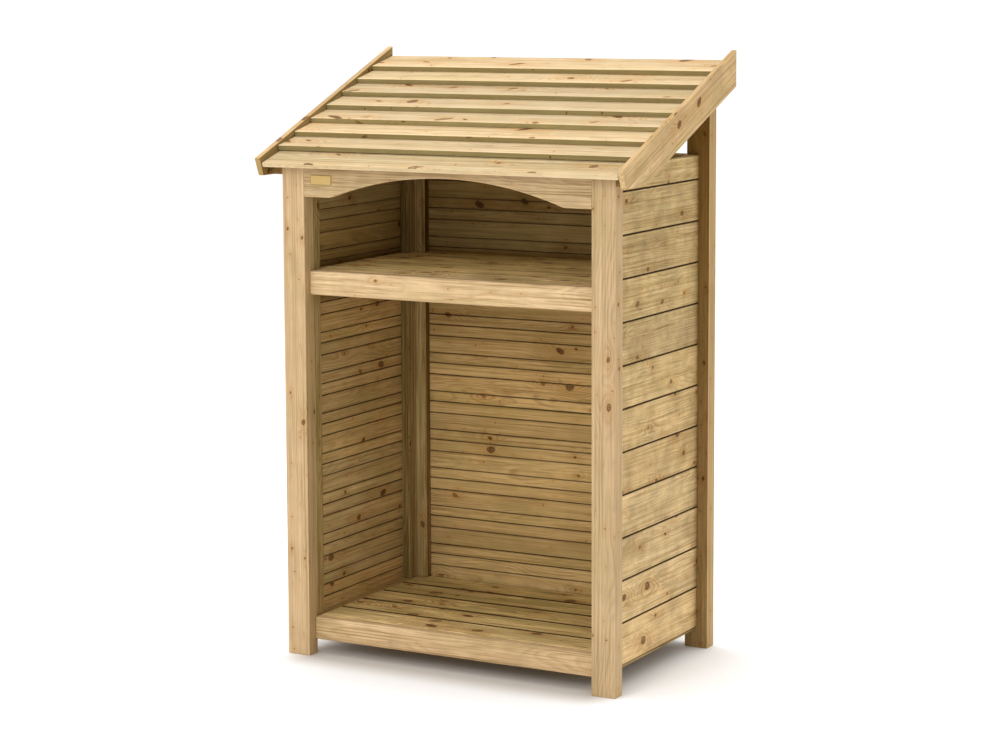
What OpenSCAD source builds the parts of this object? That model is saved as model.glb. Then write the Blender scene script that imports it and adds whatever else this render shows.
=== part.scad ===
// Garden log store: open-fronted timber frame with boarded sides and back, a slatted floor,
// a kindling shelf and a pent roof of lapped boards. The front faces -Y, millimetres.

/* [Frame] */
// Width over the outer faces of the posts
frame_w = 1093; // [900:1:1400]
// Depth over the front and rear faces of the posts
frame_d = 676; // [600:1:800]
// Width of a post, seen from the front
post_w = 75; // [70:1:90]
// Depth of a post, front to back
post_d = 47; // [40:1:60]

/* [Walls] */
// Height of the lowest edge of the wall boards above the ground
wall_base = 67; // [50:1:85]
// Height of the top edge of the walls above the ground
wall_top = 1492; // [1420:1:1520]
// Height from one wall board to the next
board_pitch = 123.2; // [100:0.1:150]
// Thickness of a wall board
board_t = 15; // [12:0.5:20]
// Open gap between two wall boards at their faces
joint_gap = 3.2; // [2:0.1:5]
// Height of the tongue on the top edge of a wall board
tongue_h = 7; // [5:0.5:9]
// Height of the lower groove on the inner face of a wall board
low_groove = 31; // [25:0.5:40]
// Height of the upper groove on the inner face of a wall board
high_groove = 85; // [70:0.5:90]
// Width of a groove on the inner face of a wall board
groove_w = 3; // [2:0.5:5]
// Depth of a groove on the inner face of a wall board
groove_d = 4; // [2:0.5:5]
// Setback of the side boards behind the outer faces of the posts
wall_inset = 34; // [24:1:36]
// Width of the upright battens that the wall boards are nailed to
batten_w = 38; // [30:1:50]

/* [Lintel] */
// Height of the underside of the lintel at its ends
lintel_base = 1379; // [1340:1:1400]
// Height of the top of the arch
arch_crown = 1447; // [1435:1:1455]
// Width of the arch at the underside of the lintel
arch_w = 768; // [600:1:800]
// Thickness of the lintel
lintel_t = 28; // [20:1:40]

/* [Roof] */
// Slope of the roof in degrees
roof_slope = 22; // [19:0.5:24]
// Height of the top edge of the rafters at the front faces of the posts
rafter_z = 1474; // [1466:0.5:1480]
// Thickness of a rafter, between post and bargeboard
rafter_t = 36.5; // [25:0.5:45]
// Depth of a rafter, square to the slope
rafter_h = 54; // [40:1:57]
// Thickness of a roof board
roof_board_t = 15; // [12:0.5:18]
// Width of a roof board
roof_board_w = 128; // [118:1:136]
// Extra width of the eaves board
eaves_lip = 3; // [1:1:8]
// Lean of the eaves board against the slope in degrees, less than that of the boards above
eaves_lean = 5; // [3:0.5:7]
// Overhang of the roof behind the posts
rear_overhang = 22; // [10:1:40]
// Distance along the slope from the post fronts out to the eaves end of the bargeboards
eaves_reach = 53; // [46:1:70]
// Distance along the slope from the eaves end of the bargeboards back to the eaves board
barge_nose = 0.5; // [0.5:0.5:4]
// Thickness of a bargeboard
barge_t = 17; // [14:0.5:22]
// Width of a bargeboard, square to the slope
barge_w = 100; // [96:1:120]
// Height of the bargeboards above the rafters, square to the slope
barge_rise = 41; // [38:0.5:46]
// Height of the level cut under the eaves end of the bargeboards
eaves_cut = 1441; // [1436:1:1450]
// Thickness of the rail under the rear edge of the roof
rear_rail_t = 38; // [25:1:45]
// Height of the rail under the rear edge of the roof
rear_rail_h = 95; // [60:1:120]

/* [Floor] */
// Height of the floor above the ground
floor_top = 113; // [105:1:130]
// Thickness of a floor board
floor_board_t = 18; // [15:0.5:22]
// Gap between two floor boards
floor_gap = 8; // [4:0.5:12]
// Height of the rail under the front edge of the floor
floor_rail_h = 68; // [60:1:80]
// Setback of the floor rail behind the post fronts
floor_setback = 33; // [20:1:40]

/* [Shelf] */
// Height of the shelf above the ground
shelf_top = 1158; // [900:1:1200]
// Thickness of a shelf board
shelf_board_t = 18; // [15:0.5:22]
// Gap between two shelf boards
shelf_gap = 2.5; // [1.5:0.5:10]
// Height of the rail along the front edge of the shelf
shelf_rail_h = 71; // [60:1:90]
// Setback of the shelf rail behind the post fronts
shelf_setback = 27; // [20:1:40]

/* [Rails and bearers] */
// Thickness of the front rails of floor and shelf
rail_t = 28; // [24:1:35]
// Thickness of the bearers under floor and shelf
bearer_t = 20; // [16:1:24]
// Height of the bearers under floor and shelf
bearer_h = 45; // [30:1:45]

/* [Clearances] */
// Clearance where a roof board lies on what carries it
seat_gap = 0.3; // [0.2:0.1:0.5]
// Clearance at the ends of boards
end_gap = 1.5; // [1:0.1:3]
// Clearance of a tongue in its groove
tongue_gap = 0.4; // [0.3:0.1:0.8]

/* [Hidden] */
roof_board_count = 8;
floor_board_count = 5;
shelf_board_count = 5;
// No ripped top board is lower than this
lowest_strip = 40;
// Larger than the whole store, for cutting planes
big = 4000;
$fn = 180;

timber = [0.86, 0.73, 0.55];
sawn = [0.78, 0.65, 0.46];
weathered = [0.9, 0.78, 0.6];
shaded = [0.6, 0.48, 0.31];

// The origin is at ground level under the middle of the whole outline
roof_rear = frame_d + rear_overhang;
roof_front = -eaves_reach * cos(roof_slope) - barge_rise * sin(roof_slope);
front_y = -(roof_front + roof_rear) / 2;
rear_y = front_y + frame_d;
roof_end_y = front_y + roof_rear;
side_x = frame_w / 2;
inner_x = side_x - post_w;
wall_x = side_x - wall_inset - board_t;
batten_t = post_w - wall_inset - board_t;
back_y = rear_y - board_t;
side_front_y = front_y + post_d;
side_rear_y = rear_y - post_d;

// Lapped roof boards: each lies on the one below, so all but the eaves board lean alike
roof_start = eaves_lip + barge_nose - eaves_reach;
roof_run = roof_rear / cos(roof_slope) - roof_board_w - roof_start;
roof_exposure = roof_run / (roof_board_count - 1);
roof_lean = asin((roof_board_t + seat_gap) / roof_exposure);
roof_board_len = frame_w + 2 * rafter_t - 2 * end_gap;

arch_rise = arch_crown - lintel_base;
arch_r = (pow(arch_w / 2, 2) + pow(arch_rise, 2)) / (2 * arch_rise);

wall_boards = ceil((wall_top - wall_base - lowest_strip) / board_pitch);

// Extrudes an outline drawn in the Y-Z plane along X
module along_x(from, length) {
    translate([from, 0, 0])
        rotate([90, 0, 90])
            linear_extrude(length)
                children();
}

// Repeats what is on the left at the right
module right_side() {
    mirror([1, 0, 0])
        children();
}

// The roof plane: along the slope and square to it, from the rafter tops at the post fronts
module on_slope() {
    translate([front_y, rafter_z])
        rotate(roof_slope)
            children();
}

module under_rafters() {
    on_slope()
        translate([-big, -big - seat_gap])
            square([2 * big, big]);
}

module lapped_board(n) {
    on_slope()
        translate([roof_start + (n - 1) * roof_exposure, roof_board_w * sin(roof_lean) + seat_gap])
            rotate(-roof_lean)
                square([roof_board_w, roof_board_t]);
}

// The lowest board has nothing under its nose but the lintel and lies flatter
module on_eaves_board() {
    on_slope()
        translate([roof_start, roof_board_w * sin(eaves_lean) + seat_gap])
            rotate(-eaves_lean)
                children();
}

module eaves_board() {
    on_eaves_board()
        translate([-eaves_lip, 0])
            square([roof_board_w + eaves_lip - end_gap, roof_board_t]);
}

module under_eaves_board() {
    on_eaves_board()
        translate([-big, -big - seat_gap])
            square([2 * big, big]);
}

module post_outline(y) {
    translate([y, 0])
        square([post_d, big]);
}

module front_left_post() {
    color(timber)
        along_x(-side_x, post_w)
            intersection() {
                post_outline(front_y);
                under_eaves_board();
            }
}

module front_right_post() {
    right_side()
        front_left_post();
}

module rear_left_post() {
    color(timber)
        along_x(-side_x, post_w)
            intersection() {
                post_outline(side_rear_y);
                under_rafters();
            }
}

module rear_right_post() {
    right_side()
        rear_left_post();
}

// Arched board between the front posts, its top bevelled to the underside of the eaves board
module front_lintel() {
    color(timber)
        intersection() {
            translate([0, front_y + lintel_t, 0])
                rotate([90, 0, 0])
                    linear_extrude(lintel_t)
                        difference() {
                            translate([-inner_x, lintel_base])
                                square([2 * inner_x, big]);
                            translate([0, arch_crown - arch_r])
                                circle(arch_r);
                        }
            along_x(-side_x, frame_w)
                under_eaves_board();
        }
}

module rear_top_rail() {
    color(sawn)
        along_x(-inner_x, 2 * inner_x)
            intersection() {
                translate([rear_y - rear_rail_t, rafter_z + frame_d * tan(roof_slope) - rear_rail_h])
                    square([rear_rail_t, big]);
                under_rafters();
            }
}

// A sloping board with a level cut at the eaves and a plumb cut at the rear
module sloping_outline(front, low, high, cut) {
    intersection() {
        on_slope()
            translate([front, low])
                square([big, high - low]);
        translate([roof_end_y - big, cut])
            square([big, big]);
    }
}

module left_rafter() {
    color(sawn)
        along_x(-side_x - rafter_t, rafter_t)
            intersection() {
                sloping_outline(-eaves_reach, -rafter_h, 0, eaves_cut + end_gap);
                translate([front_y, 0])
                    square([big, big]);
            }
}

module right_rafter() {
    right_side()
        left_rafter();
}

module left_bargeboard() {
    color(timber)
        along_x(-side_x - rafter_t - barge_t, barge_t)
            sloping_outline(-eaves_reach, barge_rise - barge_w, barge_rise, eaves_cut);
}

module right_bargeboard() {
    right_side()
        left_bargeboard();
}

module roof_board(n) {
    color(weathered)
        along_x(-roof_board_len / 2, roof_board_len)
            if (n == 1)
                eaves_board();
            else
                lapped_board(n);
}

// Section of a tongued and grooved board: outer face at 0, two grooves on the inner face
module board_section(height, tongued) {
    third = board_t / 3;
    difference() {
        union() {
            square([board_t, height]);
            if (tongued)
                translate([third, 0])
                    square([third, height + joint_gap + tongue_h]);
        }
        translate([third - tongue_gap, -tongue_h])
            square([third + 2 * tongue_gap, 2 * tongue_h + tongue_gap]);
        for (y = [low_groove, high_groove])
            translate([board_t - groove_d, y - groove_w / 2])
                square([2 * groove_d, groove_w]);
    }
}

// A wall of boards along +Y from the origin, its outer face towards -X
module boarded_wall(length) {
    for (n = [0:wall_boards - 1]) {
        last = n == wall_boards - 1;
        height = last ? wall_top - wall_base - n * board_pitch : board_pitch - joint_gap;
        translate([0, length, wall_base + n * board_pitch])
            rotate([90, 0, 0])
                linear_extrude(length)
                    board_section(height, !last);
    }
}

module left_wall() {
    color(timber)
        intersection() {
            translate([-side_x + wall_inset, side_front_y + end_gap, 0])
                boarded_wall(side_rear_y - side_front_y - 2 * end_gap);
            along_x(-side_x, post_w)
                under_rafters();
        }
}

module right_wall() {
    right_side()
        left_wall();
}

module back_wall() {
    color(shaded)
        translate([-inner_x + end_gap, rear_y, 0])
            rotate([0, 0, -90])
                boarded_wall(2 * inner_x - 2 * end_gap);
}

// Upright batten beside a post on the inner face of a side wall
module side_batten(y) {
    color(sawn)
        intersection() {
            translate([-wall_x, y, floor_top + end_gap])
                cube([batten_t, batten_w, wall_top - floor_top - end_gap]);
            along_x(-side_x, post_w)
                under_rafters();
        }
}

module left_front_batten() {
    side_batten(side_front_y);
}

module left_rear_batten() {
    side_batten(side_rear_y - batten_w);
}

module right_front_batten() {
    right_side()
        left_front_batten();
}

module right_rear_batten() {
    right_side()
        left_rear_batten();
}

module back_left_batten() {
    color(sawn)
        translate([-inner_x, back_y - batten_t, floor_top + end_gap])
            cube([batten_w, batten_t, wall_top - floor_top - end_gap]);
}

module back_right_batten() {
    right_side()
        back_left_batten();
}

// Rail between the front posts, its top level with the boards behind it
module front_rail(top, height, setback) {
    color(timber)
        translate([-inner_x, front_y + setback, top - height])
            cube([2 * inner_x, rail_t, height]);
}

module floor_front_rail() {
    front_rail(floor_top, floor_rail_h, floor_setback);
}

module shelf_front_rail() {
    front_rail(shelf_top, shelf_rail_h, shelf_setback);
}

module floor_rear_rail() {
    color(sawn)
        translate([-inner_x, back_y - bearer_t, floor_top - floor_board_t - bearer_h])
            cube([2 * inner_x, bearer_t, bearer_h]);
}

// Rebated bearer along a side wall: its lip is level with the floor, its ledge carries the boards
module left_floor_bearer() {
    low = floor_top - floor_board_t - bearer_h;
    ledge_y = front_y + floor_setback + rail_t;
    color(sawn) {
        translate([-wall_x, side_front_y, low])
            cube([batten_t, side_rear_y - side_front_y, floor_top - low]);
        translate([-wall_x, ledge_y, low])
            cube([batten_t + bearer_t, side_rear_y - ledge_y, bearer_h]);
    }
}

module right_floor_bearer() {
    right_side()
        left_floor_bearer();
}

// Cleat along a side wall under the ends of the shelf boards
module left_shelf_cleat() {
    from = side_front_y + batten_w;
    to = side_rear_y - batten_w;
    color(sawn)
        translate([-wall_x, from, shelf_top - shelf_board_t - bearer_h])
            cube([bearer_t, to - from, bearer_h]);
}

module right_shelf_cleat() {
    right_side()
        left_shelf_cleat();
}

module rear_shelf_cleat() {
    color(sawn)
        translate([-inner_x + batten_w, back_y - bearer_t, shelf_top - shelf_board_t - bearer_h])
            cube([2 * (inner_x - batten_w), bearer_t, bearer_h]);
}

// Notch in a board round an upright on both sides of the store
module notches(x, y, width, depth) {
    for (side = [0, 1])
        mirror([side, 0, 0])
            translate([x - end_gap, y - end_gap, 0])
                cube([width + 2 * end_gap, depth + 2 * end_gap, big]);
}

// Board n of a row that fills the depth from the front rail to the back wall
module row_board(n, count, setback, gap, top, thickness, reach) {
    start = front_y + setback + rail_t + end_gap;
    width = (back_y - end_gap - start - (count - 1) * gap) / count;
    length = 2 * (reach - end_gap);
    translate([-length / 2, start + (n - 1) * (width + gap), top - thickness])
        cube([length, width, thickness]);
}

module floor_board(n) {
    color(timber)
        row_board(n, floor_board_count, floor_setback, floor_gap, floor_top, floor_board_t, inner_x);
}

module shelf_board(n) {
    color(timber)
        difference() {
            row_board(n, shelf_board_count, shelf_setback, shelf_gap, shelf_top, shelf_board_t, wall_x);
            notches(-side_x, front_y, post_w, post_d + batten_w);
            notches(-side_x, side_rear_y - batten_w, post_w, post_d + batten_w);
            notches(-inner_x, back_y - batten_t, batten_w, batten_t);
        }
}

front_left_post();
front_right_post();
rear_left_post();
rear_right_post();
front_lintel();
rear_top_rail();
left_rafter();
right_rafter();
left_bargeboard();
right_bargeboard();
for (n = [1:roof_board_count])
    roof_board(n);
left_wall();
right_wall();
back_wall();
left_front_batten();
left_rear_batten();
right_front_batten();
right_rear_batten();
back_left_batten();
back_right_batten();
floor_front_rail();
floor_rear_rail();
left_floor_bearer();
right_floor_bearer();
for (n = [1:floor_board_count])
    floor_board(n);
shelf_front_rail();
left_shelf_cleat();
right_shelf_cleat();
rear_shelf_cleat();
for (n = [1:shelf_board_count])
    shelf_board(n);
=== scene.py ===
"""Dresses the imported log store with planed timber, a bare brass plate and a plain studio."""

import math
import random
from typing import NamedTuple

import bmesh
import bpy
from bpy.props import FloatProperty, FloatVectorProperty, PointerProperty
from bpy.types import Operator, Panel, PropertyGroup
from mathutils import Euler, Matrix, Vector


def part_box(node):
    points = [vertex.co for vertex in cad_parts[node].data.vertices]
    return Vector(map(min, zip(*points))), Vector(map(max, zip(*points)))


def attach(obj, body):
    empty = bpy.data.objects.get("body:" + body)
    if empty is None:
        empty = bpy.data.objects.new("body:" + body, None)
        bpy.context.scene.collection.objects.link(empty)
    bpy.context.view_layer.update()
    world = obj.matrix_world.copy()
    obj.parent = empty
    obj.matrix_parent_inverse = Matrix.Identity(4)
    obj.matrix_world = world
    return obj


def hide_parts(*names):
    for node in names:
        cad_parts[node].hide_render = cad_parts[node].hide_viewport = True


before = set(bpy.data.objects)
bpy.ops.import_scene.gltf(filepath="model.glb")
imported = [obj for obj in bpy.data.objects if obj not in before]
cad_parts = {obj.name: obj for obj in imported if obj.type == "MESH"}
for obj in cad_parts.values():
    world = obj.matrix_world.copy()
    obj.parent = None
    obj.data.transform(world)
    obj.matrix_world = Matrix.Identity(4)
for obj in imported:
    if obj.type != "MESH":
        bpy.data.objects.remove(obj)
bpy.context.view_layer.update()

bl_info = {
    "name": "Log store",
    "version": (1, 0, 0),
    "blender": (4, 5, 0),
    "location": "View3D > Sidebar > Log store",
    "description": "Dresses the frame of a garden log store with its timbers, plate and studio",
    "category": "Object",
}

BODY = "root"

POSTS = ("front_left_post", "front_right_post", "rear_left_post", "rear_right_post")
RAILS = (
    "front_lintel",
    "rear_top_rail",
    "floor_front_rail",
    "floor_rear_rail",
    "shelf_front_rail",
)
TRIM = ("left_bargeboard", "right_bargeboard", "left_rafter", "right_rafter")
ROOF = tuple(f"roof_board_{n}" for n in range(1, 9))
WALLS = ("left_wall", "right_wall", "back_wall")
BATTENS = (
    "left_front_batten",
    "left_rear_batten",
    "right_front_batten",
    "right_rear_batten",
    "back_left_batten",
    "back_right_batten",
    "left_floor_bearer",
    "right_floor_bearer",
    "left_shelf_cleat",
    "right_shelf_cleat",
    "rear_shelf_cleat",
)
FLOOR = tuple(f"floor_board_{n}" for n in range(1, 6))
SHELF = tuple(f"shelf_board_{n}" for n in range(1, 6))

# Distances in metres
WELD = 1e-5
RECESS = 0.0012
UNDER_ROOF = 1.1
OPEN = 99.0
# Distances over which painted light at a board's lower edge and painted shade by post, shelf and
# floor fade
NOSE_LIGHT_REACH = 0.018
POST_SHADE_REACH = 0.022
CORNER_SHADE_REACH = 0.028
UNDER_SHELF_SHADE_REACH = 0.25
FOOT_SHADE_REACH = 0.04
# Faces of a larger area in square metres count as broad
BROAD = 0.002
# Angles between faces, and cosines of the angle between a face and a direction
FLAT = math.radians(0.4)
SQUARE_EDGE = math.radians(55)
END_CUT = math.cos(math.radians(30))
ARRIS = math.cos(math.radians(75))
# Share of late wood over one growth ring
RING_PROFILE = ((0.0, 0.0), (0.4, 0.1), (0.8, 1.0), (0.93, 0.5), (1.0, 0.0))
# Tints that the colour of the wood is multiplied with: the board's own hue, then painted shade
WARM_BOARD = (1.04, 0.985, 0.92, 1.0)
COOL_BOARD = (0.965, 1.005, 1.06, 1.0)
# Olive painted shade
OLIVE_SHADE_TINT = (0.44, 0.46, 0.33, 1.0)
# Warm painted shadow
SHADOW_TINT = (0.5, 0.475, 0.35, 1.0)
# Warmer tint of faces lying in painted shadow
WARM_SHADE_TINT = (1.0, 1.0, 0.9, 1.0)
# Sheen of the wood, tarnish of the plate and the painted shadow along its border
WOOD_SHEEN = 0.05
TARNISH = (0.55, 0.36, 0.12, 1.0)
PLATE_BORDER_SHADOW = (0.2, 0.12, 0.035, 1.0)
# The studio floor is painted darker within this half width and half depth of the store's middle
SHADED_FLOOR = (0.52, 0.475, 0.42, 1.0)
SHADED_X = 0.46
SHADED_Y = 0.3
SHADED_MIDDLE_Y = -0.02
FLOOR_SHEEN = 0.1
FLOOR_HALF = 40
# Where the lamps point, and the camera's sensor and farthest distance
LAMP_AIM = Vector((0, 0, 0.9))
SENSOR_MM = 36
FAR = 200
# Directions
LEFT = Vector((-1, 0, 0))
RIGHT = Vector((1, 0, 0))
FRONT = Vector((0, -1, 0))
BACK = Vector((0, 1, 0))
UP = Vector((0, 0, 1))


def colour(name, description, default):
    """A colour that a user of the add-on can change."""
    return FloatVectorProperty(
        name=name,
        description=description,
        default=default,
        subtype="COLOR",
        size=3,
        min=0,
        max=1,
    )


def length(name, description, default):
    """A size in metres that a user of the add-on can change."""
    return FloatProperty(
        name=name,
        description=description,
        default=default,
        unit="LENGTH",
        min=0,
        precision=4,
    )


class LOGSTORE_PG_timber(PropertyGroup):
    """Sizes and colours of the timbers."""

    post_arris: length("Post arris", "Rounding along the edges of posts and rails", 0.003)
    board_arris: length("Board arris", "Rounding along the edges of roof and floor boards", 0.0018)
    nose_arris: length("Nose arris", "Rounding along the edges of the eaves board", 0.005)
    wall_arris: length("Wall board arris", "Rounding along the edges of wall boards", 0.0008)
    ring: length("Growth ring", "Usual width of a growth ring", 0.0052)
    post_tint: colour("Post timber", "Light wood of the posts", (0.6, 0.41, 0.225))
    rail_tint: colour("Rail timber", "Light wood of lintel and rails", (0.625, 0.435, 0.242))
    trim_tint: colour("Trim timber", "Light wood of bargeboards and rafters", (0.545, 0.375, 0.19))
    roof_tint: colour("Roof timber", "Light wood of the roof boards", (0.497, 0.38, 0.227))
    wall_tint: colour("Wall timber", "Light wood of the wall boards", (0.62, 0.434, 0.213))
    batten_tint: colour("Batten timber", "Light wood of battens and bearers", (0.53, 0.378, 0.19))
    floor_tint: colour("Floor timber", "Light wood of the floor boards", (0.97, 0.73, 0.345))
    shelf_tint: colour("Shelf timber", "Light wood of the shelf boards", (0.97, 0.73, 0.345))
    # Also painted as light along the lower edge of the roof boards
    pale_and_highlight: colour("Pale streak", "Palest streaks of the early wood", (0.80, 0.615, 0.37))
    latewood: colour("Late wood", "Dark line of a growth ring", (0.24, 0.142, 0.046))
    olive: colour("Olive cast", "Green cast of the pressure treatment", (0.38, 0.295, 0.115))
    rust: colour("Resin", "Warm streaks of resin beside knots", (0.47, 0.245, 0.085))
    knot: colour("Knot", "Heart of a knot", (0.13, 0.042, 0.01))
    knot_rim: colour("Knot rim", "Bark round a knot", (0.05, 0.022, 0.007))
    # Painted shade: the tint that faces lying in shade are multiplied with
    shaded: colour("Shade", "Tint of sheltered faces that stay damp", (0.31, 0.22, 0.06))
    # Soiling and painted shade in open joints, grooves and gaps
    grime_and_shade: colour("Grime", "Dark of open joints and corners", (0.035, 0.015, 0.003))


class LOGSTORE_PG_plate(PropertyGroup):
    """Sizes and colours of the bare plate on the lintel."""

    left: length("From the post", "Distance from the left post to the plate", 0.0245)
    height: length("Height", "Height of the plate", 0.0286)
    width: length("Width", "Width of the plate", 0.071)
    thickness: length("Thickness", "Thickness of the plate", 0.0016)
    drop: length("Drop", "Distance of the plate's middle below the top of the lintel", 0.06)
    corner: length("Corner", "Radius of the plate's corners", 0.003)
    border: length("Border", "Width of the dark border", 0.0015)
    relief: length("Relief", "Height of the plate's middle over its border", 0.0004)
    brass: colour("Brass", "Colour of the plate", (0.53, 0.375, 0.15))


class LOGSTORE_PG_stage(PropertyGroup):
    """Camera, light and floor."""

    camera: FloatVectorProperty(
        name="Camera",
        description="Place of the camera",
        default=(3.705, -6.7451, 2.0178),
        subtype="TRANSLATION",
        unit="LENGTH",
    )
    turn: FloatVectorProperty(
        name="Turn",
        description="Camera tilt, roll and turn",
        default=(math.radians(83.054), math.radians(-0.226), math.radians(28.717)),
        subtype="EULER",
        unit="ROTATION",
    )
    lens: FloatProperty(
        name="Lens", description="Focal length in millimetres", default=94.12, min=10
    )
    rise: FloatProperty(
        name="Shift", description="Vertical shift of the camera", default=-0.08
    )
    sky: FloatProperty(
        name="Sky", description="Strength of the even light from all sides", default=1.07, min=0
    )
    top: FloatProperty(
        name="Top light",
        description="Power of the large lamp above the store",
        default=165,
        unit="POWER",
        min=0,
    )
    key: FloatProperty(
        name="Key light",
        description="Power of the large lamp at the front",
        default=120,
        unit="POWER",
        min=0,
    )
    side: FloatProperty(
        name="Side light",
        description="Power of the lamp on the right",
        default=13,
        unit="POWER",
        min=0,
    )
    floor: colour("Floor", "Colour of the studio floor", (0.965, 0.965, 0.965))


class Wire:
    """One output socket of a shader tree that takes part in Python arithmetic."""

    def __init__(self, finish, socket):
        self.finish = finish
        self.socket = socket

    def out(self, name):
        """Another output of the same node."""
        return Wire(self.finish, self.socket.node.outputs[name])

    def maths(self, operation, *values):
        names = ("Value", "Value_001", "Value_002")
        return self.finish.node(
            "ShaderNodeMath", {"operation": operation}, dict(zip(names, values))
        )

    def __add__(self, other):
        return self.maths("ADD", self, other)

    def __radd__(self, other):
        return self.maths("ADD", other, self)

    def __sub__(self, other):
        return self.maths("SUBTRACT", self, other)

    def __rsub__(self, other):
        return self.maths("SUBTRACT", other, self)

    def __mul__(self, other):
        return self.maths("MULTIPLY", self, other)

    def __rmul__(self, other):
        return self.maths("MULTIPLY", other, self)

    def __truediv__(self, other):
        return self.maths("DIVIDE", self, other)

    def __rtruediv__(self, other):
        return self.maths("DIVIDE", other, self)

    def __pow__(self, other):
        return self.maths("POWER", self, other)

    def __gt__(self, other):
        return self.maths("GREATER_THAN", self, other)

    def __lt__(self, other):
        return self.maths("LESS_THAN", self, other)

    def root(self):
        return self.maths("SQRT", self)

    def fraction(self):
        return self.maths("FRACT", self)

    def size(self):
        return self.maths("ABSOLUTE", self)

    def least(self, other):
        return self.maths("MINIMUM", self, other)

    def most(self, other):
        return self.maths("MAXIMUM", self, other)

    def bell(self):
        """exp(-x), for soft spots."""
        return self.maths("EXPONENT", self * -1.0)

    def ease(self, start, end):
        """0 at start, 1 at end, smooth between."""
        return self.finish.node(
            "ShaderNodeMapRange",
            {"interpolation_type": "SMOOTHSTEP"},
            {"Value": self, "From Min": start, "From Max": end},
        )


class Finish:
    """A node material and the few calls that build it."""

    def __init__(self, name):
        self.material = bpy.data.materials.new(name)
        self.material.use_nodes = True
        self.tree = self.material.node_tree
        self.tree.nodes.clear()

    def node(self, kind, settings, values):
        """Adds a node, its settings first, then the values or links of its sockets."""
        new = self.tree.nodes.new(kind)
        for key, value in settings.items():
            if key == "stops":
                self.stops(new.color_ramp, value)
            else:
                setattr(new, key, value)
        for key, value in values.items():
            socket = next(s for s in new.inputs if key in (s.identifier, s.name))
            if isinstance(value, Wire):
                self.tree.links.new(value.socket, socket)
            else:
                socket.default_value = value
        return Wire(self, next((s for s in new.outputs if s.enabled), None))

    @staticmethod
    def stops(ramp, stops):
        for spare in list(ramp.elements)[1:]:
            ramp.elements.remove(spare)
        for n, (place, level) in enumerate(stops):
            element = ramp.elements[0] if n == 0 else ramp.elements.new(place)
            element.position = place
            element.color = (level, level, level, 1)

    def attribute(self, name):
        wire = self.node("ShaderNodeAttribute", {"attribute_name": name}, {})
        return wire.out("Vector")

    def parts(self, vector):
        wire = self.node("ShaderNodeSeparateXYZ", {}, {"Vector": vector})
        return wire.out("X"), wire.out("Y"), wire.out("Z")

    def vector(self, x, y, z):
        return self.node("ShaderNodeCombineXYZ", {}, {"X": x, "Y": y, "Z": z})

    def noise(self, vector, detail=2.0, rough=0.5):
        return self.node(
            "ShaderNodeTexNoise",
            {"noise_dimensions": "3D"},
            {"Vector": vector, "Scale": 1.0, "Detail": detail, "Roughness": rough},
        )

    def mix(self, share, first, second, blend="MIX"):
        return self.node(
            "ShaderNodeMix",
            {"data_type": "RGBA", "blend_type": blend, "clamp_factor": True},
            {"Factor_Float": share, "A_Color": first, "B_Color": second},
        )

    def tone(self, value):
        """A grey level as a colour, to multiply with."""
        return self.node(
            "ShaderNodeCombineColor", {}, {"Red": value, "Green": value, "Blue": value}
        )

    def surface(self, values):
        shader = self.node("ShaderNodeBsdfPrincipled", {}, values)
        self.node("ShaderNodeOutputMaterial", {}, {"Surface": shader})
        return self.material


def rgba(values):
    return (*values, 1.0)


class Figure(NamedTuple):
    """How one kind of timber is marked; lengths in metres, shares from 0 to 1.

    knots and pins are (pitch along, pitch across, largest radius, share of places with a knot),
    rings, streaks, flecks and cast are shares of dark rings, streaks, flecks and olive patches,
    and wander is how far the rings stray. slant, squash and pin_squash shape the knots, nose is
    the share of painted light along the lower edge, edge the width of the darkened band along a
    joint, of soiling and painted shade, and ledge and foot are heights round which the faces
    inside get painted shade. hue is the share of the board's own hue, mottle the strength of soft
    clouds, and calm takes hue and cast off the outer faces.
    """

    knots: tuple
    pins: tuple
    rings: float
    streaks: float
    flecks: float
    cast: float
    wander: float
    slant: float = 0.8
    squash: float = 0.75
    pin_squash: float = 1.8
    nose_light: float = 0.0
    edge: float = 0.001
    ledge: float = OPEN
    foot: float = OPEN
    hue: float = 0.4
    mottle: float = 0.25
    calm: float = 0.0


class Marking(NamedTuple):
    """A noise in the wood: its frequencies per metre, how far boards differ, and its grit."""

    along: float
    across: float
    through: float
    luck: float
    detail: float
    rough: float = 0.5


RIPPLE = Marking(60, 90, 90, 0, 2.0)
DRIFT = Marking(2.4, 8, 8, 40, 1.5)
CURL = Marking(10, 24, 24, 33, 2.0)
FIBRE = Marking(10, 420, 420, 0, 3.0, 0.6)
STREAK = Marking(1.3, 165, 165, 0, 3.0, 0.65)
FLECK = Marking(5, 190, 190, 0, 2.0, 0.6)
PATCH = Marking(3.6, 12, 0, 30, 2.0)
CLOUD = Marking(15, 15, 13, 60, 3.0, 0.6)
STRENGTH = Marking(5, 22, 0, 50, 1.0)


def marked(f, place, luck, marking):
    """A marking at a place along, across and through a board with that luck."""
    along, across, through = place
    depth = luck * marking.luck + through * marking.through
    spot = f.vector(along * marking.along, across * marking.across, depth)
    return f.noise(spot, marking.detail, marking.rough)


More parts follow.
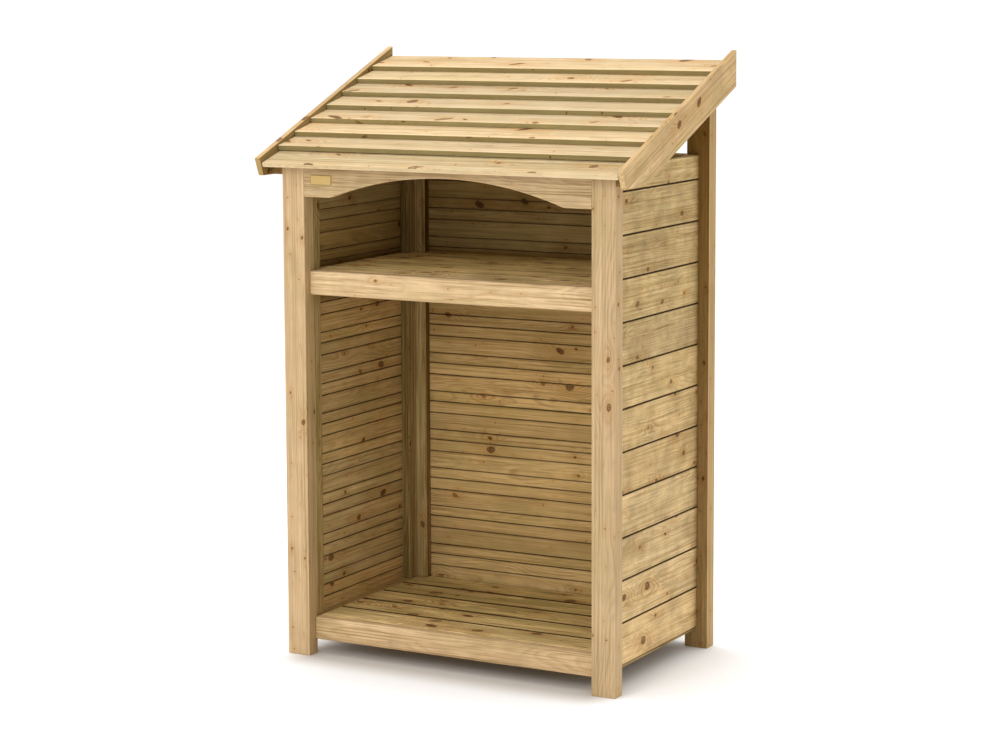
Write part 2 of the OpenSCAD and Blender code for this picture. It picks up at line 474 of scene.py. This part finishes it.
def knot_field(f, along, across, luck, ripple, knots, lean, squash):
    """Heart, rim, halo and radius of the nearest knot."""
    pitch, row, radius, share = knots
    place = f.vector(along / pitch, across / row + luck * 19, 0.0)
    spots = f.node(
        "ShaderNodeTexVoronoi",
        {"voronoi_dimensions": "2D", "feature": "F1"},
        {"Vector": place, "Scale": 1.0, "Randomness": 0.9},
    )
    near_x, near_y, _ = f.parts(spots.out("Position"))
    here_x, here_y, _ = f.parts(place)
    odds = f.node("ShaderNodeSeparateColor", {}, {"Color": spots.out("Color")})
    there = odds.out("Green") > 1 - share
    spot = radius * (0.45 + 0.7 * odds.out("Red") ** 2.0)
    dx = (here_x - near_x) * pitch
    dy = (here_y - near_y) * row
    slant = dx * squash + dy * ((odds.out("Blue") - 0.5) * lean)
    reach = (slant * slant + dy * dy).root() / spot + (ripple - 0.5) * 0.9
    heart = reach.ease(1.15, 0.5) * there * (0.5 + 0.5 * odds.out("Blue"))
    bark = (reach - 0.9).size().ease(0.4, 0.0) * (0.3 + 0.7 * odds.out("Red"))
    rim = (bark + reach.ease(0.55, 0.0) * 0.6) * there
    halo = ((dx * dx * 0.12 + dy * dy) / (spot * spot) * 0.16).bell() * there
    return heart, rim, halo, spot


def growth_rings(f, place, board, ripple, bend, ring):
    """Share of late wood, 0 in the early wood and 1 on the dark line of a ring.

    place is along, across and through the board, board its luck, pith and shade,
    and bend moves the rings aside.
    """
    along, across, through = place
    luck, pith, shade = board
    drift_x, drift_y, _ = f.parts(marked(f, place, luck, DRIFT).out("Color"))
    sideways = across - (pith - 0.5) * 0.1 + (drift_x - 0.5) * 0.06
    deep = through + 0.016 + 0.05 * shade + (drift_y - 0.5) * 0.06
    round_pith = (sideways * sideways + deep * deep).root() + along * 0.014 + bend
    phase = (round_pith / ring + (ripple - 0.5) * 0.22).fraction()
    late = f.node("ShaderNodeValToRGB", {"stops": RING_PROFILE}, {"Fac": phase})
    return f.node("ShaderNodeRGBToBW", {}, {"Color": late.out("Color")})


def timber_finish(name, tint, timber, figure):
    """Planed softwood: rings round a pith, fibre, olive cast, resin, knots, dark joints, painted
    shade and light.
    """
    f = Finish(name)
    place = f.parts(f.attribute("grain"))
    along, across, through = place
    luck, pith, shade = f.parts(f.attribute("board"))
    flank, olive_shade, recess = f.parts(f.attribute("cut"))
    shaded, tone, shadow = f.parts(f.attribute("side"))
    from_middle, lee, half_width = f.parts(f.attribute("reach"))
    low, high, grimy_shade_rim = f.parts(f.attribute("edges"))
    _, _, height = f.parts(f.node("ShaderNodeTexCoord", {}, {}).out("Object"))
    inside = shadow.ease(0.0, 0.15)
    lively = 1 - figure.calm * (1 - inside)

    # Knots, laid out along and across each face
    ripple = marked(f, place, luck, RIPPLE)
    width = across + flank * (through - across + 0.31)
    heart, rim, halo, spot = knot_field(
        f, along, width, luck, ripple, figure.knots, figure.slant, figure.squash
    )
    pin, pin_rim, pin_halo, _ = knot_field(
        f, along, width, luck, ripple, figure.pins, 0.8, figure.pin_squash
    )

    # Growth rings that bend round the knots, fibre, streaks, flecks and patches
    curl = marked(f, place, luck, CURL)
    bend = halo * spot * 2.2 + (curl - 0.5) * figure.wander
    late = growth_rings(f, place, (luck, pith, shade), ripple, bend, timber.ring)
    fibre = marked(f, place, luck, FIBRE)
    streak = marked(f, place, luck, STREAK)
    fleck = marked(f, place, luck, FLECK)
    patch = marked(f, place, luck, PATCH)
    cloud = marked(f, place, luck, CLOUD)
    strength = marked(f, place, luck, STRENGTH).ease(0.3, 0.75)
    share = late * (figure.rings * (0.3 + 0.9 * strength + 0.7 * halo))
    wood = f.mix(share, rgba(tint), rgba(timber.latewood))
    wood = f.mix(streak.ease(0.5, 0.68) * figure.streaks, wood, rgba(timber.latewood))
    wood = f.mix(streak.ease(0.46, 0.3) * 0.4, wood, rgba(timber.pale_and_highlight))
    wood = f.mix(fleck.ease(0.52, 0.66) * figure.flecks, wood, rgba(timber.latewood))
    wood = f.mix(fleck.ease(0.46, 0.33) * figure.flecks * 0.7, wood, rgba(timber.pale_and_highlight))
    wood = f.mix(patch.ease(0.45, 0.63) * figure.cast * lively, wood, rgba(timber.olive))
    wood = f.mix(halo * 0.42 + pin_halo * 0.3, wood, rgba(timber.rust))
    # Painted light along the lower edge of a board
    nose_light = ((across + half_width) / NOSE_LIGHT_REACH).bell()
    wood = f.mix(nose_light * figure.nose_light, wood, rgba(timber.pale_and_highlight))

    # Tone and hue of the board and of the face, then the knots over them
    level = (0.9 + 0.17 * shade + (fibre - 0.5) * 0.3) * (0.92 + 0.16 * tone)
    level = level * (1 + (cloud - 0.5) * (figure.mottle * (1 - 0.7 * inside)))
    wood = f.mix(1.0, wood, f.tone(level), "MULTIPLY")
    hue = f.mix(pith, WARM_BOARD, COOL_BOARD)
    wood = f.mix(figure.hue * lively, wood, hue, "MULTIPLY")
    wood = f.mix(heart * (0.6 + 0.6 * ripple) + pin * 0.85, wood, rgba(timber.knot))
    wood = f.mix(rim * 0.8 + pin_rim * 0.5, wood, rgba(timber.knot_rim))

    # Painted shade: an olive tint, a warm shadow, and darker faces behind posts, by the shelf and
    # at the foot
    wood = f.mix(olive_shade, wood, OLIVE_SHADE_TINT, "MULTIPLY")
    wood = f.mix(shadow, wood, SHADOW_TINT, "MULTIPLY")
    wood = f.mix(inside, wood, WARM_SHADE_TINT, "MULTIPLY")
    # Painted shade where a wall board runs in behind a post
    post_shade = ((lee - from_middle) / POST_SHADE_REACH).bell() * 0.95
    shaded = shaded * (0.92 + 0.25 * from_middle) + post_shade
    # Painted shade in the corner above the shelf, under the shelf and at the floor
    above = height - figure.ledge
    corner = (above.size() / CORNER_SHADE_REACH).bell() * (above > 0) * 0.95
    under_shelf_shade = (above.size() / UNDER_SHELF_SHADE_REACH).bell() * (above < 0) * 0.3
    foot = ((height - figure.foot).size() / FOOT_SHADE_REACH).bell() * 0.2
    shaded = shaded + (corner + under_shelf_shade + foot) * inside
    wood = f.mix(shaded, wood, rgba(timber.shaded), "MULTIPLY")

    # Soiling and painted shade along the joints and in the grooves
    edge = (across - low).least(high - across)
    rim_grime_and_shade = edge.ease(figure.edge * 1.5, figure.edge * 0.5) * grimy_shade_rim
    wood = f.mix(rim_grime_and_shade, wood, rgba(timber.grime_and_shade))
    wood = f.mix(recess, wood, rgba(timber.grime_and_shade))

    grown = late * 0.5 + fibre * 0.6 - rim * 0.8
    relief = f.node(
        "ShaderNodeBump", {}, {"Strength": 0.25, "Distance": 0.0007, "Height": grown}
    )
    return f.surface(
        {
            "Base Color": wood,
            "Roughness": 0.74 - late * 0.1 + (fibre - 0.5) * 0.12 - heart * 0.12,
            "Normal": relief,
            "Specular IOR Level": WOOD_SHEEN,
        }
    )


def brass_finish(brass):
    """Brushed brass, a little darker in patches, with a painted shadow along its border."""
    f = Finish("plate_brass")
    x, y, z = f.parts(f.node("ShaderNodeTexCoord", {}, {}).out("Object"))
    brush = f.noise(f.vector(x * 60, y * 60, z * 2600), 2.0)
    cloud = f.noise(f.vector(x * 45, y * 45, z * 70), 3.0)
    border, _, _ = f.parts(f.attribute("border"))
    metal = f.mix(cloud.ease(0.35, 0.75) * 0.35, rgba(brass), TARNISH)
    metal = f.mix(1.0, metal, f.tone(0.9 + 0.2 * brush), "MULTIPLY")
    # Painted shadow along the plate's border
    metal = f.mix(border * 0.7, metal, PLATE_BORDER_SHADOW)
    relief = f.node(
        "ShaderNodeBump", {}, {"Strength": 0.2, "Distance": 0.0002, "Height": brush}
    )
    return f.surface(
        {
            "Base Color": metal,
            "Roughness": 0.42 + brush * 0.2,
            "Metallic": 1.0,
            "Normal": relief,
        }
    )


def floor_finish(tint):
    """Plain, whitish studio floor with a painted shadow, darker and warmer under the store and
    close to it.
    """
    f = Finish("studio_floor")
    x, y, _ = f.parts(f.node("ShaderNodeTexCoord", {}, {}).out("Object"))
    beside = x.size().most(SHADED_X) - SHADED_X
    before = (y - SHADED_MIDDLE_Y).size().most(SHADED_Y) - SHADED_Y
    away = (beside * beside + before * before).root().ease(-0.05, 0.13)
    paint = f.mix(away, SHADED_FLOOR, rgba(tint))
    return f.surface(
        {"Base Color": paint, "Roughness": 0.9, "Specular IOR Level": FLOOR_SHEEN}
    )


def lowest_corner(board):
    """Rounded height, depth and side of a board's lowest vertex, to sort boards by."""
    return min((round(v.co.z, 4), round(v.co.y, 4), round(v.co.x, 4)) for v in board)


def loose_boards(mesh):
    """The separate boards of a mesh, as lists of vertices."""
    left = set(mesh.verts)
    boards = []
    while left:
        todo = [left.pop()]
        board = list(todo)
        while todo:
            for edge in todo.pop().link_edges:
                for vert in edge.verts:
                    if vert in left:
                        left.discard(vert)
                        todo.append(vert)
                        board.append(vert)
        boards.append(board)
    return sorted(boards, key=lowest_corner)


def board_axes(board):
    """Length, width and thickness directions of a board, from its longest edges."""
    runs = {edge: edge.verts[1].co - edge.verts[0].co for v in board for edge in v.link_edges}
    along = max(runs.values(), key=lambda run: run.length).normalized()
    square = [run - along * run.dot(along) for run in runs.values()]
    across = max(square, key=lambda run: run.length).normalized()
    if sum(along) < 0:
        along = -along
    if sum(across) < 0:
        across = -across
    return along, across, along.cross(across)


def face_marks(face, dark, heart, sunk, broad, tone, weight):
    """Olive painted shade, soiling with painted shade, painted shade, tone, warm painted shadow
    and darkened rim of one face of a board.

    dark lists (kind, direction, amount). Of the faces that look in a direction, "gap" darkens them
    with soiling and painted shade, "damp" with painted shade, "shelter" with a warm painted
    shadow,
    "butt" with an olive painted shade, and "fresh" sets their tone, above 1 as painted light.
    "eaves" paints shadow on the boards under the roof, "inner" paints shadow and "height" olive
    shade on the boards, more on the higher ones, "rim" darkens the edges with soiling and painted
    shade, and "worn" darkens narrow faces with the tint of "damp". Of the sunk faces on that side
    of the board, "recess" darkens all equally with soiling and painted shade and "groove" each by
    its weight.
    """
    olive = 0.0
    grimy_shade = 0.0
    shading = 0.0
    shadow = 0.0
    rim = 0.0
    centre = face.calc_center_median()
    for kind, facing, amount in dark:
        turned = face.normal.dot(facing)
        square = turned > END_CUT
        outer = (centre - heart).dot(facing) > 0
        if kind == "recess" and outer and sunk:
            grimy_shade = amount
        if kind == "groove" and outer and sunk:
            grimy_shade = amount * weight
        if kind == "gap" and square:
            grimy_shade = amount
        if kind == "dark_arris" and square and not broad:
            shading = amount
        if kind == "shaded" and square:
            shading = amount
        if kind == "shadow" and square:
            shadow = amount
        if kind == "eaves" and square and heart.z > UNDER_ROOF:
            shadow = amount
        if kind == "inner" and square:
            shadow = amount * min(1, heart.z + 0.4)
        if kind == "height" and square:
            olive = amount * min(1, max(0, heart.z - 0.1))
        if kind == "olive_shade" and square:
            olive = amount
        if kind == "rim" and turned > (END_CUT if broad else ARRIS):
            rim = amount
        if kind == "lit" and square:
            tone = amount
    return olive, grimy_shade, shading, tone, shadow, rim


def finish_board(board, layers, seed, dark, lee):
    """Stores the grain of one board: its place along, across and through, its luck and its cuts.

    dark lists the marks of its faces, soiling and painted light and shade, as in face_marks;
    lee is the place along the board where it runs in behind a post, with painted shade deepening
    towards it.
    """
    grain, luck, reach, cut, side, edges = layers
    dice = random.Random(seed)
    along, across, through = board_axes(board)
    places = [Vector((v.co.dot(along), v.co.dot(across), v.co.dot(through))) for v in board]
    low = Vector([min(p[i] for p in places) for i in range(3)])
    high = Vector([max(p[i] for p in places) for i in range(3)])
    middle = (low + high) / 2
    half = (high - low) / 2
    heart = along * middle.x + across * middle.y + through * middle.z
    flip = dice.choice((-1, 1))
    bark = dice.choice((-1, 1))
    start = dice.uniform(2, 18)
    chances = Vector((dice.random(), dice.random(), dice.random()))
    for vert, place in zip(board, places):
        local = place - middle
        vert[grain] = Vector((start + local.x * flip, local.y, local.z * bark))
        vert[luck] = chances
        vert[reach] = Vector((local.x, lee - middle.x, half.y))
    for face in sorted({f for v in board for f in v.link_faces}, key=lambda f: f.index):
        tone = dice.random()
        weight = dice.uniform(0.45, 1)
        broad = face.calc_area() > BROAD
        if not broad:
            tone = 0.5
        depth = abs(face.calc_center_median().dot(through) - middle.z)
        end = abs(face.normal.dot(along)) > END_CUT
        sunk = half.z - depth > RECESS and not end
        olive, grimy_shade, shading, tone, shadow, rim = face_marks(
            face, dark, heart, sunk, broad, tone, weight
        )
        flank = abs(face.normal.dot(across)) > abs(face.normal.dot(through))
        spread = [v.co.dot(across) - middle.y for v in face.verts]
        face[cut] = Vector((flank, olive, grimy_shade))
        face[side] = Vector((shading, tone, shadow))
        face[edges] = Vector((min(spread), max(spread), rim))


def timber_piece(node, finish, arris, dark=(), lee=OPEN):
    """A CAD timber with welded faces, rounded arrises and a grain of its own."""
    mesh = bmesh.new()
    mesh.from_mesh(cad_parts[node].data)
    bmesh.ops.remove_doubles(mesh, verts=mesh.verts, dist=WELD)
    bmesh.ops.dissolve_limit(mesh, angle_limit=FLAT, verts=mesh.verts, edges=mesh.edges)
    mesh.normal_update()
    layers = (
        mesh.verts.layers.float_vector.new("grain"),
        mesh.verts.layers.float_vector.new("board"),
        mesh.verts.layers.float_vector.new("reach"),
        mesh.faces.layers.float_vector.new("cut"),
        mesh.faces.layers.float_vector.new("side"),
        mesh.faces.layers.float_vector.new("edges"),
    )
    sharp = [e for e in mesh.edges if e.is_manifold and e.calc_face_angle() > SQUARE_EDGE]
    bmesh.ops.bevel(
        mesh,
        geom=sharp,
        offset=arris,
        offset_type="OFFSET",
        affect="EDGES",
        segments=3,
        profile=0.5,
        material=-1,
        clamp_overlap=True,
    )
    mesh.normal_update()
    mesh.faces.index_update()
    for n, board in enumerate(loose_boards(mesh)):
        finish_board(board, layers, f"{node} {n}", dark, lee)
    for face in mesh.faces:
        face.smooth = True
    data = bpy.data.meshes.new(node + "_timber")
    mesh.to_mesh(data)
    mesh.free()
    piece = bpy.data.objects.new(node + "_timber", data)
    bpy.context.scene.collection.objects.link(piece)
    data.materials.append(finish)
    piece.modifiers.new("Flat faces", "WEIGHTED_NORMAL")
    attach(piece, BODY)
    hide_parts(node)
    return piece


class LOGSTORE_OT_posts(Operator):
    """Planes the four posts"""

    bl_idname = "logstore.posts"
    bl_label = "Posts"

    def execute(self, context):
        timber = context.scene.logstore_timber
        figure = Figure(
            knots=(0.17, 0.05, 0.0065, 0.2),
            pins=(0.08, 0.028, 0.0032, 0.5),
            rings=0.32,
            streaks=0.4,
            flecks=0.15,
            cast=0.25,
            wander=0.002,
        )
        finish = timber_finish("post_timber", timber.post_tint, timber, figure)
        # Painted shade and shadow on the post faces that light reaches less
        shadowed = {
            "front_left_post": [("shadow", RIGHT, 0.2)],
            "front_right_post": [("olive_shade", RIGHT, 0.2), ("olive_shade", FRONT, 0.12)],
            "rear_left_post": [("shaded", RIGHT, 0.75), ("shaded", FRONT, 0.92)],
            "rear_right_post": [
                ("shaded", LEFT, 0.6),
                ("shaded", RIGHT, 0.34),
                ("shadow", RIGHT, 0.15),
                ("shaded", FRONT, 0.86),
                ("shadow", FRONT, 0.15),
            ],
        }
        for node in POSTS:
            dark = shadowed.get(node, ())
            timber_piece(node, finish, timber.post_arris, dark)
        return {"FINISHED"}


class LOGSTORE_OT_rails(Operator):
    """Planes the lintel, the rear rail and the front rails of floor and shelf"""

    bl_idname = "logstore.rails"
    bl_label = "Lintel and rails"

    def execute(self, context):
        timber = context.scene.logstore_timber
        figure = Figure(
            knots=(0.2, 0.06, 0.008, 0.3),
            pins=(0.11, 0.035, 0.003, 0.35),
            rings=0.32,
            streaks=0.7,
            flecks=0.42,
            cast=0.25,
            wander=0.004,
            mottle=0.45,
        )
        finish = timber_finish("rail_timber", timber.rail_tint, timber, figure)
        shadowed = {
            # Olive painted shade on the lintel's front under the eaves
            "front_lintel": [("olive_shade", FRONT, 0.24)],
            # A little darker front on the shelf rail
            "shelf_front_rail": [("olive_shade", FRONT, 0.07)],
            # A darker front and top arris on the floor rail
            "floor_front_rail": [("shaded", FRONT, 0.1), ("dark_arris", (FRONT + UP).normalized(), 0.5)],
        }
        for node in RAILS:
            dark = shadowed.get(node, ())
            timber_piece(node, finish, timber.post_arris, dark)
        return {"FINISHED"}


class LOGSTORE_OT_trim(Operator):
    """Planes the bargeboards and the rafters behind them"""

    bl_idname = "logstore.trim"
    bl_label = "Bargeboards and rafters"

    def execute(self, context):
        timber = context.scene.logstore_timber
        figure = Figure(
            knots=(0.15, 0.045, 0.009, 0.5),
            pins=(0.1, 0.035, 0.0032, 0.4),
            rings=0.45,
            streaks=0.5,
            flecks=0.4,
            cast=0.3,
            wander=0.004,
            mottle=0.5,
        )
        finish = timber_finish("trim_timber", timber.trim_tint, timber, figure)
        for node in TRIM:
            inward = RIGHT if node.startswith("left") else LEFT
            # Painted shadow inside and on the left bargeboard's front end, painted shade on the
            # rafters' front ends
            dark = [("shadow", inward, 0.8)]
            if node == "left_bargeboard":
                dark.append(("shadow", FRONT, 0.3))
            # Painted light on the right bargeboard's front end
            if node == "right_bargeboard":
                dark.append(("lit", FRONT, 1.8))
            if node.endswith("rafter"):
                dark.append(("shaded", FRONT, 0.9))
            timber_piece(node, finish, timber.board_arris, dark)
        return {"FINISHED"}


class LOGSTORE_OT_roof(Operator):
    """Lays the lapped roof boards"""

    bl_idname = "logstore.roof"
    bl_label = "Roof boards"

    def execute(self, context):
        timber = context.scene.logstore_timber
        figure = Figure(
            knots=(0.19, 0.07, 0.015, 0.42),
            pins=(0.12, 0.035, 0.0042, 0.35),
            rings=0.5,
            streaks=0.6,
            flecks=0.3,
            cast=0.25,
            wander=0.006,
            slant=2.6,
            squash=0.9,
            nose_light=0.4,
        )
        finish = timber_finish("roof_timber", timber.roof_tint, timber, figure)
        for node in ROOF:
            eaves = node == ROOF[0]
            arris = timber.nose_arris if eaves else timber.board_arris
            # Olive painted shade on the front faces of the boards, a little on the eaves board
            dark = [("olive_shade", FRONT, 1.0)]
            if eaves:
                dark = [("olive_shade", UP, 0.26), ("olive_shade", FRONT, 0.26)]
            timber_piece(node, finish, arris, dark)
        return {"FINISHED"}


class LOGSTORE_OT_walls(Operator):
    """Boards the sides and the back"""

    bl_idname = "logstore.walls"
    bl_label = "Wall boards"

    def execute(self, context):
        timber = context.scene.logstore_timber
        figure = Figure(
            knots=(0.18, 0.06, 0.0095, 0.36),
            pins=(0.08, 0.032, 0.0042, 0.4),
            rings=0.5,
            streaks=0.5,
            flecks=0.33,
            cast=0.35,
            wander=0.008,
            pin_squash=2.6,
            edge=0.0008,
            ledge=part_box(SHELF[0])[1].z,
            foot=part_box(FLOOR[0])[1].z,
            hue=1.0,
            mottle=1.0,
            calm=0.6,
        )
        finish = timber_finish("wall_timber", timber.wall_tint, timber, figure)
        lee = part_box("rear_right_post")[0].y
        for node, outside, eaves in zip(WALLS, (LEFT, RIGHT, BACK), (0.88, 0.88, 0.69)):
            start = OPEN if outside == BACK else lee
            dark = [
                # Soiling and painted shade in the joints and along the edges
                ("recess", outside, 1.0),
                ("groove", -outside, 0.95),
                ("rim", outside, 0.75),
                ("rim", -outside, 0.3),
                # Olive painted shade outside and painted shadow inside, more on the higher boards
                # and under the roof
                ("height", outside, 0.43),
                ("inner", -outside, 0.22),
                ("eaves", -outside, eaves),
            ]
            timber_piece(node, finish, timber.wall_arris, dark, start)
        return {"FINISHED"}


class LOGSTORE_OT_battens(Operator):
    """Saws the battens, bearers and cleats"""

    bl_idname = "logstore.battens"
    bl_label = "Battens and bearers"

    def execute(self, context):
        timber = context.scene.logstore_timber
        figure = Figure(
            knots=(0.2, 0.04, 0.006, 0.25),
            pins=(0.09, 0.025, 0.0026, 0.3),
            rings=0.8,
            streaks=0.9,
            flecks=0.6,
            cast=0.35,
            wander=0.006,
        )
        finish = timber_finish("batten_timber", timber.batten_tint, timber, figure)
        for node in BATTENS:
            # Painted shadow on fronts, right faces and the tops of bearers, and painted shade on
            # some of them
            dark = [("shadow", FRONT, 0.3), ("shadow", RIGHT, 0.4)]
            if node.startswith("left"):
                dark = [("shadow", FRONT, 0.8), ("shadow", RIGHT, 0.7)]
            if node == "left_rear_batten":
                dark = [("shadow", FRONT, 0.9), ("shaded", FRONT, 0.35), ("shadow", RIGHT, 0.8)]
            if node == "back_left_batten":
                dark = [("shadow", FRONT, 0.35), ("shaded", RIGHT, 0.95)]
            if node.endswith("bearer"):
                dark.append(("shadow", UP, 0.5))
            timber_piece(node, finish, timber.board_arris, dark)
        return {"FINISHED"}


class LOGSTORE_OT_floor(Operator):
    """Lays the floor boards"""

    bl_idname = "logstore.floor"
    bl_label = "Floor boards"

    def execute(self, context):
        timber = context.scene.logstore_timber
        figure = Figure(
            knots=(0.17, 0.06, 0.0135, 0.6),
            pins=(0.1, 0.035, 0.0035, 0.35),
            rings=0.85,
            streaks=0.7,
            flecks=0.8,
            cast=0.5,
            wander=0.01,
            edge=0.002,
        )
        finish = timber_finish("floor_timber", timber.floor_tint, timber, figure)
        # Soiling and painted shade in the gaps and along the top edges, painted shadow growing to
        # the back
        gaps = [("gap", FRONT, 0.95), ("gap", BACK, 0.95), ("rim", UP, 0.9)]
        for n, node in enumerate(FLOOR):
            dark = [*gaps, ("shadow", UP, 0.1 * n)] if n else gaps[1:2]
            timber_piece(node, finish, timber.board_arris, dark)
        return {"FINISHED"}


class LOGSTORE_OT_shelf(Operator):
    """Lays the shelf boards"""

    bl_idname = "logstore.shelf"
    bl_label = "Shelf boards"

    def execute(self, context):
        timber = context.scene.logstore_timber
        figure = Figure(
            knots=(0.15, 0.06, 0.013, 0.6),
            pins=(0.1, 0.035, 0.003, 0.3),
            rings=0.9,
            streaks=0.85,
            flecks=0.9,
            cast=0.55,
            wander=0.01,
            mottle=0.6,
        )
        finish = timber_finish("shelf_timber", timber.shelf_tint, timber, figure)
        # Soiling and painted shade in the gaps and along the top edges, painted shadow growing to
        # the back
        gaps = [("gap", FRONT, 0.9), ("gap", BACK, 0.9), ("rim", UP, 0.5)]
        for n, node in enumerate(SHELF):
            dark = [*gaps, ("shadow", UP, 0.1 * n)]
            timber_piece(node, finish, timber.board_arris, dark)
        return {"FINISHED"}


class LOGSTORE_OT_plate(Operator):
    """Fixes the bare brass plate to the lintel"""

    bl_idname = "logstore.plate"
    bl_label = "Plate"

    def execute(self, context):
        plate = context.scene.logstore_plate
        low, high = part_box("front_lintel")
        mesh = bmesh.new()
        bmesh.ops.create_cube(mesh, size=1)
        border = mesh.faces.layers.float_vector.new("border")
        bmesh.ops.scale(mesh, vec=(plate.width, plate.thickness, plate.height), verts=mesh.verts)
        upright = [e for e in mesh.edges if abs((e.verts[1].co - e.verts[0].co).y) > WELD]
        bmesh.ops.bevel(
            mesh,
            geom=upright,
            offset=plate.corner,
            offset_type="OFFSET",
            affect="EDGES",
            segments=4,
            profile=0.5,
            material=-1,
        )
        front = [f for f in mesh.faces if f.normal.dot(FRONT) > END_CUT]
        ring = bmesh.ops.inset_region(
            mesh, faces=front, thickness=plate.border, depth=plate.relief
        )
        # The inset ring carries the painted shadow along the border
        for face in ring["faces"]:
            face[border] = Vector((1, 0, 0))
        place = (
            low.x + plate.left + plate.width / 2,
            low.y - plate.thickness / 2,
            high.z - plate.drop,
        )
        bmesh.ops.translate(mesh, vec=place, verts=mesh.verts)
        data = bpy.data.meshes.new("lintel_plate")
        mesh.to_mesh(data)
        mesh.free()
        piece = bpy.data.objects.new("lintel_plate", data)
        context.scene.collection.objects.link(piece)
        data.materials.append(brass_finish(plate.brass))
        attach(piece, BODY)
        return {"FINISHED"}


class LOGSTORE_OT_stage(Operator):
    """Sets the floor, the soft light and the camera"""

    bl_idname = "logstore.stage"
    bl_label = "Stage"

    @staticmethod
    def lamp(scene, name, place, size, power):
        """A round soft box that faces the middle of the store."""
        light = bpy.data.lights.new(name, "AREA")
        light.shape = "DISK"
        light.size = size
        light.energy = power
        box = bpy.data.objects.new(name, light)
        box.location = place
        aim = LAMP_AIM - box.location
        box.rotation_euler = aim.to_track_quat("-Z", "Y").to_euler()
        scene.collection.objects.link(box)

    def execute(self, context):
        scene = context.scene
        stage = scene.logstore_stage
        mesh = bmesh.new()
        bmesh.ops.create_grid(mesh, x_segments=8, y_segments=8, size=FLOOR_HALF)
        data = bpy.data.meshes.new("studio_floor")
        mesh.to_mesh(data)
        mesh.free()
        floor = bpy.data.objects.new("studio_floor", data)
        scene.collection.objects.link(floor)
        data.materials.append(floor_finish(stage.floor))

        world = bpy.data.worlds.new("studio")
        world.use_nodes = True
        sky = world.node_tree.nodes["Background"]
        sky.inputs["Color"].default_value = (1, 1, 1, 1)
        sky.inputs["Strength"].default_value = stage.sky
        scene.world = world

        self.lamp(scene, "top", (-0.4, 0.2, 6.8), 3.0, stage.top)
        self.lamp(scene, "side", (4.4, 1.3, 1.8), 2.4, stage.side)
        self.lamp(scene, "key", (-0.8, -6.4, 4.0), 3.0, stage.key)

        view = bpy.data.cameras.new("photo_view")
        view.sensor_width = SENSOR_MM
        view.lens = stage.lens
        view.shift_y = stage.rise
        view.clip_end = FAR
        camera = bpy.data.objects.new("photo_view", view)
        tilt, roll, turn = stage.turn
        level = Euler((tilt, 0, turn)).to_matrix().to_4x4()
        rolled = level @ Matrix.Rotation(roll, 4, "Z")
        camera.matrix_world = Matrix.Translation(stage.camera) @ rolled
        scene.collection.objects.link(camera)
        scene.camera = camera
        scene.view_settings.view_transform = "Standard"
        scene.view_settings.look = "None"
        return {"FINISHED"}


OPERATORS = (
    LOGSTORE_OT_posts,
    LOGSTORE_OT_rails,
    LOGSTORE_OT_trim,
    LOGSTORE_OT_roof,
    LOGSTORE_OT_walls,
    LOGSTORE_OT_battens,
    LOGSTORE_OT_floor,
    LOGSTORE_OT_shelf,
    LOGSTORE_OT_plate,
    LOGSTORE_OT_stage,
)


class LOGSTORE_PT_sidebar(Panel):
    """Lists the log store's pieces"""

    bl_idname = "LOGSTORE_PT_sidebar"
    bl_label = "Log store"
    bl_space_type = "VIEW_3D"
    bl_region_type = "UI"
    bl_category = "Log store"

    def draw(self, context):
        for operator in OPERATORS:
            self.layout.operator(operator.bl_idname)


CLASSES = (
    LOGSTORE_PG_timber,
    LOGSTORE_PG_plate,
    LOGSTORE_PG_stage,
    *OPERATORS,
    LOGSTORE_PT_sidebar,
)


def register():
    for cls in CLASSES:
        bpy.utils.register_class(cls)
    bpy.types.Scene.logstore_timber = PointerProperty(type=LOGSTORE_PG_timber)
    bpy.types.Scene.logstore_plate = PointerProperty(type=LOGSTORE_PG_plate)
    bpy.types.Scene.logstore_stage = PointerProperty(type=LOGSTORE_PG_stage)


def unregister():
    del bpy.types.Scene.logstore_stage
    del bpy.types.Scene.logstore_plate
    del bpy.types.Scene.logstore_timber
    for cls in reversed(CLASSES):
        bpy.utils.unregister_class(cls)


def main():
    register()
    bpy.ops.logstore.posts()
    bpy.ops.logstore.rails()
    bpy.ops.logstore.trim()
    bpy.ops.logstore.roof()
    bpy.ops.logstore.walls()
    bpy.ops.logstore.battens()
    bpy.ops.logstore.floor()
    bpy.ops.logstore.shelf()
    bpy.ops.logstore.plate()
    bpy.ops.logstore.stage()


if __name__ == "__main__":
    main()
